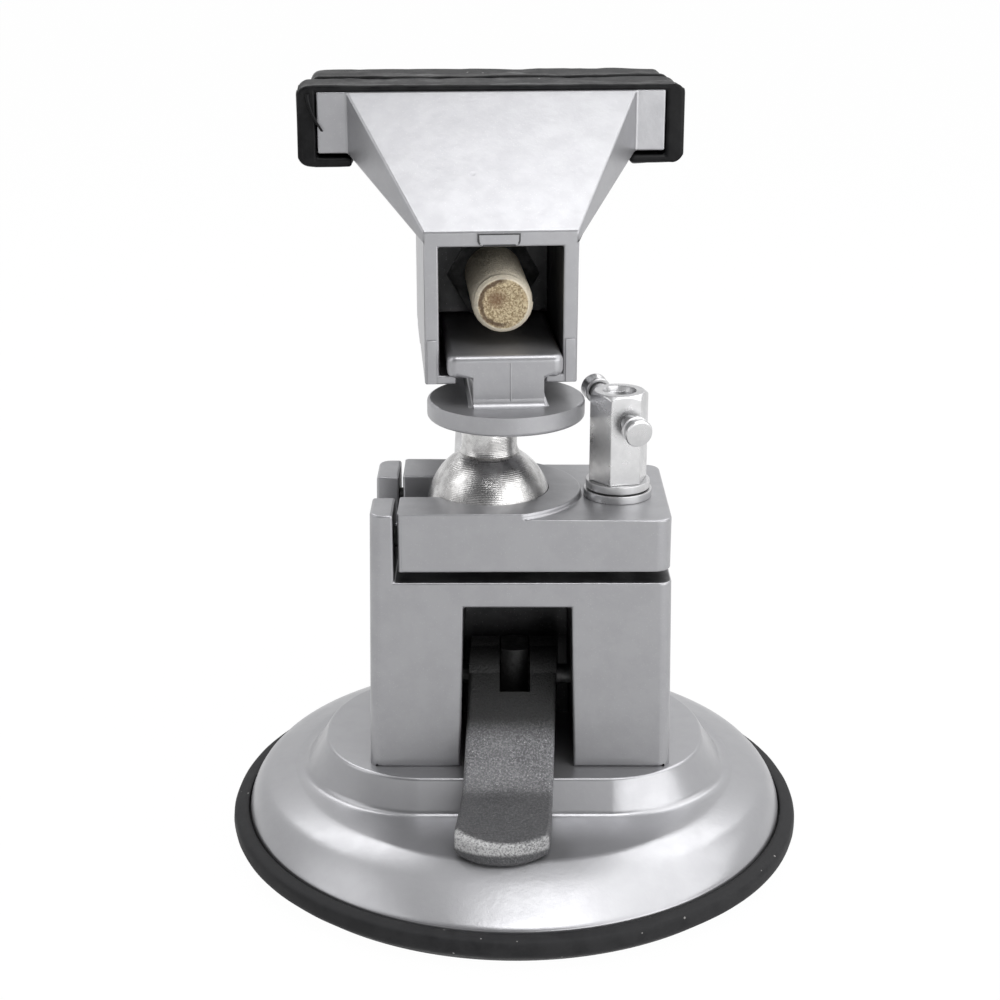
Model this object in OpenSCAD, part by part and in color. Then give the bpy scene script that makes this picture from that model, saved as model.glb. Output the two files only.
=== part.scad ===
// Suction-base swivel vise: a vacuum base, a clamped ball joint and a small two-jaw screw vise.
// Millimetres, +Z up, origin on the base axis at the table. -Y is the vacuum lever side.

/* [Suction base] */
// Outer radius of the rubber rim
cup_r = 57.5; // [54:0.5:62]
// Width of the rubber rim outside the metal dome
rim_w = 3.5; // [2.4:0.1:5]
// Height of the flat pad that carries the housing
plateau_z = 19.5; // [18.5:0.5:22]
// Pad length left to right
pad_w = 76.4; // [72:0.2:80]
// Pad depth front to back
pad_d = 43.8; // [42:0.2:44.4]
// Thickness of the dome casting
shell_t = 3.2; // [2.6:0.1:3.6]

/* [Vacuum lever] */
// Width of the lever
lever_w = 17.2; // [14:0.2:18]
// Thickness of the lever blade
lever_t = 3.9; // [3:0.1:4]
// Reach of the lever tip in front of the base axis
lever_reach = 42.8; // [38:0.2:46]
// Diameter of the lever pivot pins
pivot_d = 4; // [3:0.2:4.6]
// Diameter of the pin that lifts the stem
link_d = 3; // [2.4:0.2:3.4]
// Arm from the pivot to the lifting pin
link_arm = 4; // [3.6:0.1:4.4]
// Diameter of the cup stem
stem_d = 8; // [7.4:0.2:8.6]

/* [Ball housing] */
// Housing width at its foot
house_w = 58.8; // [58:0.2:62]
// Housing depth
house_d = 34.2; // [33:0.2:36]
// Housing height up to the clamping gap
house_h = 38.6; // [37:0.2:42]
// Width of the lever window at its top
window_w = 20.6; // [20:0.2:22]
// Height of the lever window above the pad
window_h = 33.5; // [32:0.1:34]
// Gap between the housing and the clamp plate
clamp_gap = 2.2; // [1.6:0.1:3]
// Thickness of the clamp plate
plate_t = 10.4; // [9.6:0.1:12]
// Width of the slot the neck can lie in
slot_w = 12.4; // [11.6:0.1:13]

/* [Ball stud] */
// Diameter of the ball
ball_d = 24.1; // [23:0.1:25]
// Diameter of the neck
neck_d = 10.7; // [9.6:0.1:11]
// Height of the swivel flange above the ball centre
stud_h = 17.65; // [17:0.05:20]

/* [Clamp screw] */
// Across the flats of the hex post
post_af = 10; // [9:0.1:10.6]
// Height of the hex post
post_h = 18.7; // [16:0.1:19]
// Diameter of the clamp screw thread
clamp_d = 8; // [6:0.2:8.4]
// Diameter of the small tommy bar
tommy_d = 3.6; // [3:0.1:4]
// Length of the small tommy bar between its end caps
tommy_len = 17.5; // [16:0.5:26]

/* [Jaws] */
// Width of the jaw castings
jaw_w = 68; // [64:0.5:76]
// Height of the jaw bars
jaw_h = 11.8; // [10:0.2:14]
// Thickness of the jaw bars
jaw_t = 9.5; // [8:0.1:12]
// Front wall of the rubber jaw caps
cap_t = 2.9; // [2:0.1:3.6]
// Width of the sliding body of the moving jaw
box_w = 28.9; // [28.4:0.1:31]
// Gap between the caps of the closed jaws
jaw_gap = 0.2; // [0.1:0.1:12]

/* [Slide and lead screw] */
// Width of the swivel flange
flange_w = 30.4; // [29:0.1:31]
// Width of the slide head
slide_w = 21.9; // [21:0.1:22.3]
// Width of the slide web
web_w = 13.4; // [12.8:0.1:14]
// Major diameter of the lead screw
screw_d = 11.7; // [10.6:0.1:12]
// Length of the handle bar
handle_len = 74; // [62:1:78]
// Diameter of the handle bar
handle_d = 6; // [5:0.2:6.6]

/* [Hidden] */
$fn = 96;
eps = 0.01;
over = 1;
// Shared fits
run_fit = 0.06;
set_fit = 0.03;
seat_fit = 0.08;
clear = 0.3;
// Dome profile: how far each ring lies inside the rim at the sides and at the front, and its height
seat_z = 4.2;
skirt_z = 6;
skirt_out = 0.8;
rim_r = cup_r - rim_w;
dome_r = rim_r - skirt_out;
lower_side = 0.8;
lower_front = 4;
lower_up = 2.2;
shoulder_side = 2.5;
shoulder_front = 8;
shoulder_up = 4.4;
upper_side = 5.7;
upper_front = 10.5;
upper_up = 5.6;
crown_side = 11.5;
crown_front = 12.5;
crown_up = 6.6;
crown_r = rim_r - crown_front;
crown_z = skirt_z + crown_up;
skirt_in = 1.5;
dome_fn = 72;
pad_rad = 20.5;
pad_draft = 2.2;
pad_fn = 64;
pocket_r = 20.5;
pocket_roof = 0.8;
pocket_z = plateau_z - shell_t - pocket_roof;
// Cup profile
lip_z = 5.8;
lip_w = 0.6;
lip_top_r = rim_r + lip_w;
seal_w = 10;
cup_edge = 3.2;
cup_bulge_z = 2.5;
cup_shoulder_in = 0.5;
cup_shoulder_z = 5.5;
cup_shoulder = [cup_r - cup_shoulder_in, cup_shoulder_z];
cup_hollow_r = 40;
cup_hollow_z = 2.6;
cup_mid_z = 4.4;
cup_top_z = 8.2;
cup_step_in = 7;
cup_web_in = 9.5;
cup_web_up = 1;
cup_step_r = dome_r - cup_step_in;
cup_web_r = dome_r - cup_web_in;
cup_web_z = seat_z + cup_web_up;
cup_plate_r = 18;
cup_plate_t = 2;
// Housing placement
house_x = 1;
house_y = 0.3;
house_lean = 1;
house_rad = 2.4;
house_fn = 32;
house_z0 = plateau_z;
house_z1 = house_z0 + house_h;
upright_t = 4.6;
upright_over = 0.9;
upright_z = house_z1 + clamp_gap + plate_t + upright_over;
house_x0 = house_x - house_w / 2;
upright_x = house_x0 + upright_t + house_lean / 2 + clear;
window_flare = 0.8;
window_back = 8;
window_x = 0.4;
// Housing screws
hscrew_d = 5;
hscrew_x = 16;
hscrew_len = 15;
hscrew_head_r = 4.2;
hscrew_head_h = 3;
hscrew_free = 2;
hscrew_bite = hscrew_len - hscrew_free;
hscrew_key = hscrew_head_h * 0.6;
hscrew_long = hscrew_head_h + shell_t + hscrew_bite;
hex_n = 6;
// Lever geometry, Y and Z in the side view
link_rest = 30;
link_y = 0;
link_up = 15.9;
link_z = plateau_z + link_up;
pivot_y = link_y - link_arm * cos(link_rest);
pivot_z = link_z - link_arm * sin(link_rest);
fork_r = 5.6;
link_lug_r = 4.3;
// Sideways place of the lever at its bend and its lean towards the tip
lever_x = -0.9;
lever_skew = 0.055;
fork_gap = 6;
fork_front = -11.5;
bend_y = -17;
bend_up = 8.7;
bend_z = plateau_z + bend_up;
tip_down = 2.6;
tip_z = plateau_z - tip_down;
fork_lean = 18;
blade_tip = lever_t * 0.9;
blade_in = lever_t * 0.23;
blade_low = lever_t;
bend_low = lever_t * 1.05;
tip_r = 13;
mid_y = -27.3;
mid_up = 0.5;
mid_z = plateau_z + mid_up;
stem_flat = 5.4;
stem_top = 3.2;
stem_slot = link_arm * (1 - cos(link_rest)) + seat_fit;
pivot_in = 1.2;
// Clamp plate
plate_z0 = house_z1 + clamp_gap;
plate_z1 = plate_z0 + plate_t;
plate_gap = 0.8;
plate_x0 = upright_x + plate_gap;
plate_x1 = house_x + house_w / 2 - house_lean;
plate_rad = 3;
plate_left_rad = 0.9;
raise_h = 1.1;
raise_in = 7.1;
// Ball placement
ball_x = -5;
ball_y = 0;
ball_sink = 2.4;
ball_z = plate_z1 - ball_sink;
ball_r = ball_d / 2;
neck_r = neck_d / 2;
notch_deep = 1.2;
notch_z = ball_z - neck_r - notch_deep;
// Dowels that hold the plate to the uprights
dowel_d = 4;
dowel_y = 11.4;
dowel_z = plate_z0 + plate_t / 2;
dowel_reach = 7.5;
dowel_in = 0.8;
// Clamp post
post_reach = 24.9;
post_x = ball_x + post_reach;
raise_r = post_reach - raise_in;
post_y = -1.6;
washer_t = 1.6;
washer_r = 6.6;
captive_r = 6.2;
captive_t = 1.5;
lie = 0.02;
// Free height under the captive washer, taken up when the post is tightened
clamp_free = 0.25;
washer_z = plate_z1 + lie;
captive_z = washer_z + washer_t + clamp_free;
post_z0 = captive_z + captive_t + lie;
post_z1 = post_z0 + post_h;
post_turn = 12;
post_cut = 1;
post_cut_out = 0.15;
post_cup_r = 3.2;
post_cup_h = 1.2;
post_hole_at = 0.7;
post_hole_z = post_z0 + post_h * post_hole_at;
clamp_len = 28;
clamp_bore_in = 20;
clamp_bore_z = house_z1 - clamp_bore_in;
clamp_pass = 0.4;
tommy_turn = 20;
tommy_tilt = 9;
tommy_shift = 1.6;
tommy_cap_r = 2.4;
tommy_cap_h = 3;
tommy_neck_r = 2.3;
tommy_neck_h = tommy_cap_h * 0.4;
tommy_plug = tommy_cap_h / 2;
// Head, local Y runs along the slide and away from the lever side
head_yaw = 4;
stud_off = 2.7;
flange_t = 3.7;
web_h = 5.55;
slide_t = 4.4;
flange_z0 = ball_z + stud_h;
flange_z1 = flange_z0 + flange_t;
slide_z0 = flange_z1 + web_h;
slide_z1 = slide_z0 + slide_t;
slide_y0 = -6.5;
slide_round = 1.8;
flange_x = 0.6;
flange_y = 1;
keel_w = 20;
shank_d = 6.8;
shank_in = 8;
web_fillet = 1;
fillet_n = 8;
// Moving jaw
box_wall = 2.75;
box_back = 3.5;
box_y0 = slide_y0 + box_back;
box_len = 56.5;
box_y1 = box_y0 + box_len;
lip_t = 1.7;
lip_gap = 0.2;
lip_z1 = slide_z0 - lip_gap;
box_z0 = lip_z1 - lip_t;
hollow_h = 19.9;
roof_t = 2.8;
hollow_z1 = slide_z1 + hollow_h;
box_z1 = hollow_z1 + roof_t;
jaw_off = -0.6;
hollow_w = box_w - 2 * box_wall;
web_pass = 1.8;
bar_back = 25;
bar_y0 = box_y0 + bar_back;
bar_y1 = bar_y0 + jaw_t;
bar_up = 11;
bar_z0 = box_z1 + bar_up;
bar_z1 = bar_z0 + jaw_h;
bar_body = 0.83;
body_slab = 2;
// Cross wall and nut
wall_back = 6;
wall_y0 = bar_y0 + wall_back;
nut_af = 16.2;
nut_t = 9;
wall_rear = 3;
wall_y1 = wall_y0 + nut_t + wall_rear;
wall_lift = 0.3;
pad_face = [7.2, 0.5, 2.4];
pad_face_down = 2.6;
pad_face_z = box_z1 - pad_face_down;
lug_face = [1.8, 0.4, 8.4];
lug_face_up = 0.2;
lug_face_z = box_z0 + lug_face_up;
lug_face_x = box_w / 2 - box_wall / 2 - lug_face.x / 2;
// Caps
cap_side = 3.95;
far_cap_side = 2.3;
cap_round = 2.2;
cap_top = 1.9;
cap_low = 2.7;
cap_lip = 0.86;
cap_free = 0.15;
close_y = bar_y1 + cap_t + cap_free;
// Fixed jaw
far_cap_y0 = close_y + jaw_gap;
far_bar_y0 = far_cap_y0 + cap_t + cap_free;
far_bar_y1 = far_bar_y0 + jaw_t;
pillar_gap = 2.5;
pillar_y0 = box_y1 + pillar_gap;
pillar_t = 18;
pillar_y1 = pillar_y0 + pillar_t;
pillar_over = 0.9;
pillar_z1 = box_z1 + pillar_over;
pillar_slab = 0.6;
// Lead screw
screw_up = 8.3;
screw_z = slide_z1 + screw_up;
screw_r = screw_d / 2;
screw_in = 3.5;
screw_y0 = box_y0 + screw_in;
journal_step = 0.8;
journal_r = screw_r - journal_step;
clip_t = 1.2;
clip_r = 8;
clip_gap = 0.1;
clip_y = pillar_y0 - clip_gap - clip_t;
groove_in = 1;
groove_r = journal_r - groove_in;
clip_mouth = groove_r * 0.8;
shoulder_in = 2;
shoulder_y = clip_y - shoulder_in;
thrust_t = 1.6;
thrust_r = 9;
thrust_y = pillar_y1 + lie;
hub_y0 = thrust_y + thrust_t + lie;
hub_len = 13;
hub_r = 7.5;
hub_cut = 1;
handle_turn = 3;
handle_y = hub_y0 + hub_len / 2;
handle_end_r = 4.4;
handle_end_h = 5;
handle_skirt = handle_end_h * 0.7;
handle_drop = handle_len / 2 - handle_skirt - hub_r - clear;

// Helpers
module slab(x0, x1, y0, y1, z0, z1) {
    translate([x0, y0, z0]) cube([x1 - x0, y1 - y0, z1 - z0]);
}

module along_x(x0, x1, y, z, r) {
    translate([x0, y, z]) rotate([0, 90, 0]) cylinder(h = x1 - x0, r = r);
}

module along_y(y0, y1, z, r) {
    translate([0, y0, z]) rotate([-90, 0, 0]) cylinder(h = y1 - y0, r = r);
}

module side_view(w) {
    translate([-w / 2, 0, 0]) rotate([90, 0, 90]) linear_extrude(height = w) children();
}

module in_head() {
    translate([ball_x, ball_y, 0]) rotate([0, 0, head_yaw]) translate([stud_off, 0, 0]) children();
}

module at_post() {
    translate([post_x, post_y, 0]) children();
}

module on_tommy() {
    at_post() translate([0, 0, post_hole_z]) rotate([tommy_tilt, 0, tommy_turn]) children();
}

module on_handle() {
    in_head() translate([0, handle_y, screw_z]) rotate([0, handle_turn, 0]) children();
}

// Suction base
module base_dome() {
    inner = [[0, seat_z - over], [dome_r - shell_t, seat_z - over], [dome_r - shell_t, skirt_z - skirt_in],
        [crown_r, crown_z - shell_t], [pocket_r, crown_z - shell_t], [pocket_r, pocket_z], [0, pocket_z]];
    color([0.64, 0.65, 0.67]) difference() {
        union() {
            dome_body();
            dome_pad();
        }
        rotate_extrude() polygon(inner);
        translate([0, 0, pocket_z - over]) cylinder(h = shell_t * 3, r = stem_d / 2 + seat_fit);
        for (s = [-1, 1]) translate([s * hscrew_x, 0, pocket_z - over])
            cylinder(h = shell_t * 3, r = hscrew_d / 2 + clear);
    }
}

function dome_ring(k) = [for (i = [0 : dome_fn - 1]) let (a = 360 * i / dome_fn)
    [(rim_r - k.x) * cos(a), (rim_r - k.y) * sin(a), k.z]];

// A round rim that grows into an oval crown
module dome_body() {
    n = dome_fn;
    rings = [[0, 0, seat_z], [0, 0, skirt_z], [lower_side, lower_front, skirt_z + lower_up],
        [shoulder_side, shoulder_front, skirt_z + shoulder_up],
        [upper_side, upper_front, skirt_z + upper_up], [crown_side, crown_front, crown_z]];
    top = (len(rings) - 1) * n;
    sides = [for (j = [0 : len(rings) - 2], i = [0 : n - 1]) let (a = j * n + i, b = j * n + (i + 1) % n)
        each [[a, a + n, b], [b, a + n, b + n]]];
    polyhedron([for (k = rings) each dome_ring(k)],
        concat([[for (i = [0 : n - 1]) i]], sides, [[for (i = [n - 1 : -1 : 0]) top + i]]));
}

module dome_pad() {
    px = pad_w / 2 - pad_rad;
    py = pad_d / 2 - pad_rad;
    z0 = crown_z - over;
    hull() for (sx = [-1, 1], sy = [-1, 1]) translate([sx * px, sy * py, z0])
        cylinder(h = plateau_z - z0, r1 = pad_rad + pad_draft, r2 = pad_rad, $fn = pad_fn);
}

module suction_cup() {
    ring = [[0, cup_mid_z], [cup_hollow_r, cup_hollow_z], [cup_r - seal_w, 0], [cup_r - cup_edge, 0],
        [cup_r, cup_bulge_z], cup_shoulder, [lip_top_r, lip_z], [rim_r + clear, lip_z - clear],
        [rim_r + clear, seat_z], [cup_step_r, seat_z], [cup_web_r, cup_web_z],
        [cup_plate_r + over, cup_top_z], [0, cup_top_z]];
    color([0.05, 0.05, 0.05]) rotate_extrude() polygon(ring);
}

module cup_plate() {
    color([0.6, 0.6, 0.58]) translate([0, 0, cup_top_z]) difference() {
        cylinder(h = cup_plate_t, r = cup_plate_r);
        translate([0, 0, -over]) cylinder(h = cup_plate_t + 2 * over, r = stem_d / 2 + set_fit);
    }
}

module cup_stem() {
    color([0.6, 0.6, 0.58]) difference() {
        union() {
            translate([0, 0, cup_top_z]) cylinder(h = plateau_z + over - cup_top_z, r = stem_d / 2);
            intersection() {
                translate([0, 0, cup_top_z]) cylinder(h = link_z + stem_top - cup_top_z, r = stem_d / 2);
                slab(-stem_flat / 2, stem_flat / 2, -stem_d, stem_d, cup_top_z, link_z + stem_top);
            }
        }
        hull() for (s = [-1, 1])
            along_x(-stem_d, stem_d, link_y + s * stem_slot, link_z, link_d / 2 + run_fit);
    }
}

// Vacuum lever
function lever_at(y) = lever_x + lever_skew * (y - bend_y);

module vacuum_lever() {
    top_y = pivot_y - fork_r * sin(fork_lean);
    top_z = pivot_z + fork_r * cos(fork_lean);
    blade = [[top_y, top_z], [bend_y, bend_z], [mid_y, mid_z], [-lever_reach, tip_z],
        [-lever_reach, tip_z - blade_tip], [mid_y + blade_in, mid_z - blade_low],
        [bend_y, bend_z - bend_low], [pivot_y, pivot_z - fork_r]];
    lean = [[1, lever_skew, 0, lever_at(0)], [0, 1, 0, 0], [0, 0, 1, 0]];
    color([0.16, 0.16, 0.17]) difference() {
        multmatrix(lean) intersection() {
            side_view(lever_w) union() {
                polygon(blade);
                translate([pivot_y, pivot_z]) circle(r = fork_r);
                translate([link_y, link_z]) circle(r = link_lug_r);
            }
            lever_plan();
        }
        slab(-fork_gap / 2, fork_gap / 2, fork_front, stem_d * 2, 0, upright_z);
        along_x(-house_w, house_w, pivot_y, pivot_z, pivot_d / 2 + run_fit);
        along_x(-house_w, house_w, link_y, link_z, link_d / 2 + set_fit);
    }
}

module lever_plan() {
    w = lever_w / 2;
    y0 = -lever_reach + tip_r;
    intersection() {
        slab(-w, w, -lever_reach - over, stem_d * 2, 0, upright_z);
        union() {
            translate([0, y0, 0]) cylinder(h = upright_z, r = tip_r);
            slab(-tip_r, tip_r, y0, stem_d * 2, 0, upright_z);
        }
    }
}

module lever_pins() {
    color([0.6, 0.6, 0.58]) {
        along_x(house_x0 + house_lean + pivot_in, -fork_gap / 2 - clear, pivot_y, pivot_z, pivot_d / 2);
        along_x(fork_gap / 2 + clear, house_x + house_w / 2 - house_lean - pivot_in, pivot_y, pivot_z,
            pivot_d / 2);
    }
}

module link_pin() {
    w = lever_w / 2;
    x = lever_at(link_y);
    color([0.6, 0.6, 0.58]) along_x(x - w, x + w, link_y, link_z, link_d / 2);
}

// Ball housing
module house_block(z1) {
    cx = house_w / 2 - house_rad;
    cy = house_d / 2 - house_rad;
    lean = house_lean * (z1 - house_z0) / (upright_z - house_z0);
    translate([house_x, house_y, 0]) hull() for (sx = [-1, 1], sy = [-1, 1]) {
        translate([sx * cx, sy * cy, house_z0]) cylinder(h = eps, r = house_rad, $fn = house_fn);
        translate([sx * (cx - lean), sy * cy, z1 - eps]) cylinder(h = eps, r = house_rad, $fn = house_fn);
    }
}

module window_cut() {
    w0 = window_w / 2 + window_flare;
    w1 = window_w / 2;
    z1 = house_z0 + window_h;
    translate([window_x, window_back, 0]) rotate([90, 0, 0]) linear_extrude(height = house_d)
        polygon([[-w0, house_z0 - over], [w0, house_z0 - over], [w1, z1], [-w1, z1]]);
}

module ball_housing() {
    wide = house_w + 2 * over;
    color([0.6, 0.61, 0.63]) difference() {
        house_block(upright_z);
        slab(upright_x, upright_x + wide, -house_d, house_d, house_z1, upright_z + over);
        slab(house_x0 - over, upright_x + over, ball_y - slot_w / 2, ball_y + slot_w / 2, notch_z,
            upright_z + over);
        window_cut();
        translate([ball_x, ball_y, ball_z]) sphere(r = ball_r + seat_fit);
        at_post() translate([0, 0, clamp_bore_z]) cylinder(h = house_h, r = clamp_d / 2 + run_fit);
        for (s = [-1, 1]) {
            translate([s * hscrew_x, 0, house_z0 - over])
                cylinder(h = hscrew_len, r = hscrew_d / 2 + set_fit);
            along_x(house_x0 - over, upright_x + over, house_y + s * dowel_y, dowel_z,
                dowel_d / 2 + set_fit);
        }
        along_x(house_x0 - over, house_x0 + wide, pivot_y, pivot_z, pivot_d / 2 + set_fit);
    }
}

module housing_screws() {
    head_z = pocket_z - hscrew_head_h;
    color([0.55, 0.55, 0.56]) for (s = [-1, 1]) translate([s * hscrew_x, 0, 0]) difference() {
        union() {
            translate([0, 0, head_z]) cylinder(h = hscrew_head_h, r = hscrew_head_r);
            translate([0, 0, head_z]) cylinder(h = hscrew_long, r = hscrew_d / 2);
        }
        translate([0, 0, head_z - over]) cylinder(h = over + hscrew_key, r = hscrew_d / 2, $fn = hex_n);
    }
}

// Ball clamp
module plate_outline(z0, z1) {
    y0 = house_y - house_d / 2;
    y1 = house_y + house_d / 2;
    left = plate_left_rad;
    right = plate_rad;
    hull() for (c = [[plate_x0 + left, y0 + left, left], [plate_x0 + left, y1 - left, left],
        [plate_x1 - right, y0 + right, right], [plate_x1 - right, y1 - right, right]])
        translate([c.x, c.y, z0]) cylinder(h = z1 - z0, r = c.z, $fn = house_fn);
}

module clamp_plate() {
    color([0.62, 0.63, 0.65]) difference() {
        union() {
            plate_outline(plate_z0, plate_z1);
            intersection() {
                plate_outline(plate_z1 - over, plate_z1 + raise_h);
                union() {
                    translate([ball_x, ball_y, plate_z0]) cylinder(h = plate_t + raise_h, r = raise_r);
                    slab(plate_x0 - over, ball_x, -house_d, house_d, plate_z0, plate_z1 + raise_h);
                }
            }
        }
        translate([ball_x, ball_y, plate_z0 - over])
            cylinder(h = ball_z - plate_z0 + over, r = ball_r + clear);
        translate([ball_x, ball_y, ball_z]) sphere(r = ball_r + seat_fit);
        slab(plate_x0 - over, ball_x, ball_y - slot_w / 2, ball_y + slot_w / 2, plate_z0 - over,
            plate_z1 + raise_h + over);
        at_post() translate([0, 0, plate_z0 - over])
            cylinder(h = plate_t + raise_h + 2 * over, r = clamp_d / 2 + clamp_pass);
        for (s = [-1, 1]) along_x(plate_x0 - over, plate_x0 + dowel_reach + over, house_y + s * dowel_y,
            dowel_z, dowel_d / 2 + run_fit);
    }
}

module plate_dowels() {
    color([0.55, 0.55, 0.56]) for (s = [-1, 1])
        along_x(house_x0 + house_lean + dowel_in, plate_x0 + dowel_reach, house_y + s * dowel_y, dowel_z,
            dowel_d / 2);
}

module ring(z, t, r_out, r_in) {
    translate([0, 0, z]) difference() {
        cylinder(h = t, r = r_out);
        translate([0, 0, -over]) cylinder(h = t + 2 * over, r = r_in);
    }
}

module clamp_washer() {
    color([0.7, 0.7, 0.68]) at_post() ring(washer_z, washer_t, washer_r, clamp_d / 2 + clamp_pass);
}

module captive_washer() {
    color([0.7, 0.7, 0.68]) at_post() ring(captive_z, captive_t, captive_r, clamp_d / 2 + run_fit);
}

module clamp_post() {
    corner = post_af / cos(180 / hex_n) / 2;
    color([0.72, 0.72, 0.7]) difference() {
        at_post() union() {
            intersection() {
                rotate([0, 0, post_turn]) translate([0, 0, post_z0])
                    cylinder(h = post_h, r = corner, $fn = hex_n);
                union() {
                    translate([0, 0, post_z0]) cylinder(h = post_h - post_cut, r = corner + over);
                    translate([0, 0, post_z1 - post_cut])
                        cylinder(h = post_cut, r1 = corner + post_cut_out, r2 = corner - post_cut);
                }
            }
            translate([0, 0, post_z0 - clamp_len]) cylinder(h = clamp_len + over, r = clamp_d / 2);
        }
        at_post() translate([0, 0, post_z1 - post_cup_h]) cylinder(h = post_cup_h + over, r = post_cup_r);
        on_tommy() translate([0, -post_af, 0]) rotate([-90, 0, 0])
            cylinder(h = 2 * post_af, r = tommy_d / 2 + run_fit);
    }
}

module clamp_bar() {
    color([0.75, 0.75, 0.73]) on_tommy()
        along_y(tommy_shift - tommy_len / 2 - tommy_plug, tommy_shift + tommy_len / 2 + tommy_plug, 0,
            tommy_d / 2);
}

module clamp_bar_ends() {
    y = tommy_len / 2;
    color([0.75, 0.75, 0.73]) on_tommy() translate([0, tommy_shift, 0]) for (s = [0, 180])
        rotate([0, 0, s]) difference() {
        union() {
            along_y(y, y + tommy_neck_h, 0, tommy_neck_r);
            along_y(y + tommy_neck_h - eps, y + tommy_cap_h, 0, tommy_cap_r);
        }
        along_y(y - over, y + tommy_plug + set_fit, 0, tommy_d / 2 + set_fit);
    }
}

// Ball stud
module ball_stud() {
    color([0.72, 0.71, 0.69]) translate([ball_x, ball_y, 0]) {
        translate([0, 0, ball_z]) sphere(r = ball_r);
        translate([0, 0, ball_z]) cylinder(h = stud_h - lie, r = neck_r);
        translate([0, 0, ball_z + stud_h - over]) cylinder(h = shank_in + over, r = shank_d / 2);
    }
}

// Fixed jaw with the slide and the swivel flange
module fixed_jaw() {
    f = flange_w / 2;
    color([0.62, 0.63, 0.65]) in_head() difference() {
        union() {
            translate([flange_x, flange_y, flange_z0]) cylinder(h = flange_t, r = f);
            slab(flange_x - keel_w / 2, flange_x + keel_w / 2, flange_y, pillar_y1, flange_z0, flange_z1);
            slide_web();
            slide_head();
            slab(-box_w / 2, box_w / 2, pillar_y0, pillar_y1, flange_z0, pillar_z1);
            hull() {
                slab(-box_w / 2, box_w / 2, pillar_y0, pillar_y1, pillar_z1 - pillar_slab, pillar_z1);
                far_bar(bar_body);
            }
            far_bar(1);
        }
        along_y(pillar_y0 - over, pillar_y1 + over, screw_z, journal_r + run_fit);
        translate([-stud_off, 0, flange_z0 - over])
            cylinder(h = shank_in + over + clear, r = shank_d / 2 + run_fit);
    }
}

module slide_web() {
    w = web_w / 2;
    foot = [for (i = [0 : fillet_n]) let (a = 90 * i / fillet_n)
        [w + web_fillet * (1 - sin(a)), flange_z1 + web_fillet * (1 - cos(a))]];
    left = [for (i = [fillet_n : -1 : 0]) [-foot[i].x, foot[i].y]];
    outline = concat([[w + web_fillet, flange_z1 - eps]], foot, [[w, slide_z0 + eps], [-w, slide_z0 + eps]],
        left, [[-w - web_fillet, flange_z1 - eps]]);
    translate([flange_x, pillar_y1, 0]) rotate([90, 0, 0]) linear_extrude(height = pillar_y1 - slide_y0)
        polygon(outline);
}

module slide_head() {
    w = slide_w / 2;
    slab(-w, w, slide_y0 + slide_round, pillar_y1, slide_z0, slide_z1);
    slab(-w + slide_round, w - slide_round, slide_y0, pillar_y1, slide_z0, slide_z1);
    for (s = [-1, 1]) translate([s * (w - slide_round), slide_y0 + slide_round, slide_z0])
        cylinder(h = slide_t, r = slide_round);
}

module far_bar(part) {
    slab(-jaw_w / 2 * part, jaw_w / 2 * part, far_bar_y0, far_bar_y1, bar_z0, bar_z1);
}

// A rubber cap around a jaw bar, open at the back, its front wall from y0 towards +Y
module jaw_cap(y0, y1, front0, front1, side) {
    x = jaw_w / 2;
    cx = x + side - cap_round;
    difference() {
        hull() for (sx = [-cx, cx], z = [bar_z0 - cap_low + cap_round, bar_z1 + cap_top - cap_round])
            translate([sx, 0, 0]) along_y(y0, y1, z, cap_round, $fn = house_fn);
        slab(-x - cap_free, x + cap_free, front0, front1, bar_z0 - cap_free, bar_z1 + cap_free);
        slab(-x * cap_lip, x * cap_lip, front0, front1, bar_z0 - cap_low - over, bar_z0);
    }
}

module fixed_jaw_cap() {
    color([0.06, 0.06, 0.06]) in_head()
        jaw_cap(far_cap_y0, far_bar_y1, far_cap_y0 + cap_t, far_bar_y1 + over, far_cap_side);
}

// Moving jaw
module moving_jaw() {
    b = box_w / 2;
    h = hollow_w / 2;
    slot = web_w / 2 + web_pass;
    nut_y1 = wall_y0 + nut_t + set_fit;
    color([0.62, 0.63, 0.65]) in_head() translate([jaw_off, 0, 0]) difference() {
        union() {
            slab(-b, b, box_y0, box_y1, box_z0, box_z1);
            hull() {
                slab(-b, b, box_y0, bar_y1, box_z1 - body_slab, box_z1);
                slab(-jaw_w / 2 * bar_body, jaw_w / 2 * bar_body, bar_y0, bar_y1, bar_z0, bar_z1);
            }
            slab(-jaw_w / 2, jaw_w / 2, bar_y0, bar_y1, bar_z0, bar_z1);
            translate([-pad_face.x / 2, box_y0 - pad_face.y, pad_face_z])
                cube([pad_face.x, pad_face.y + over, pad_face.z]);
            for (x = [-lug_face_x - lug_face.x, lug_face_x])
                translate([x, box_y0 - lug_face.y, lug_face_z])
                    cube([lug_face.x, lug_face.y + over, lug_face.z]);
        }
        slab(-h, h, box_y0 - over, wall_y0, lip_z1, hollow_z1);
        slab(-h, h, wall_y1, box_y1 + over, lip_z1, hollow_z1);
        slab(-h, h, wall_y0 - over, wall_y1 + over, lip_z1, slide_z1 + wall_lift);
        slab(-slot, slot, box_y0 - over, box_y1 + over, box_z0 - over, lip_z1 + eps);
        translate([-jaw_off, 0, 0]) along_y(wall_y0 - over, wall_y1 + over, screw_z, screw_r + clear);
        translate([-jaw_off, 0, 0]) nut_hex(wall_y0 - over, nut_y1, nut_af + 2 * seat_fit);
    }
}

module nut_hex(y0, y1, af) {
    translate([0, y0, screw_z]) rotate([-90, 0, 0])
        cylinder(h = y1 - y0, r = af / cos(180 / hex_n) / 2, $fn = hex_n);
}

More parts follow.
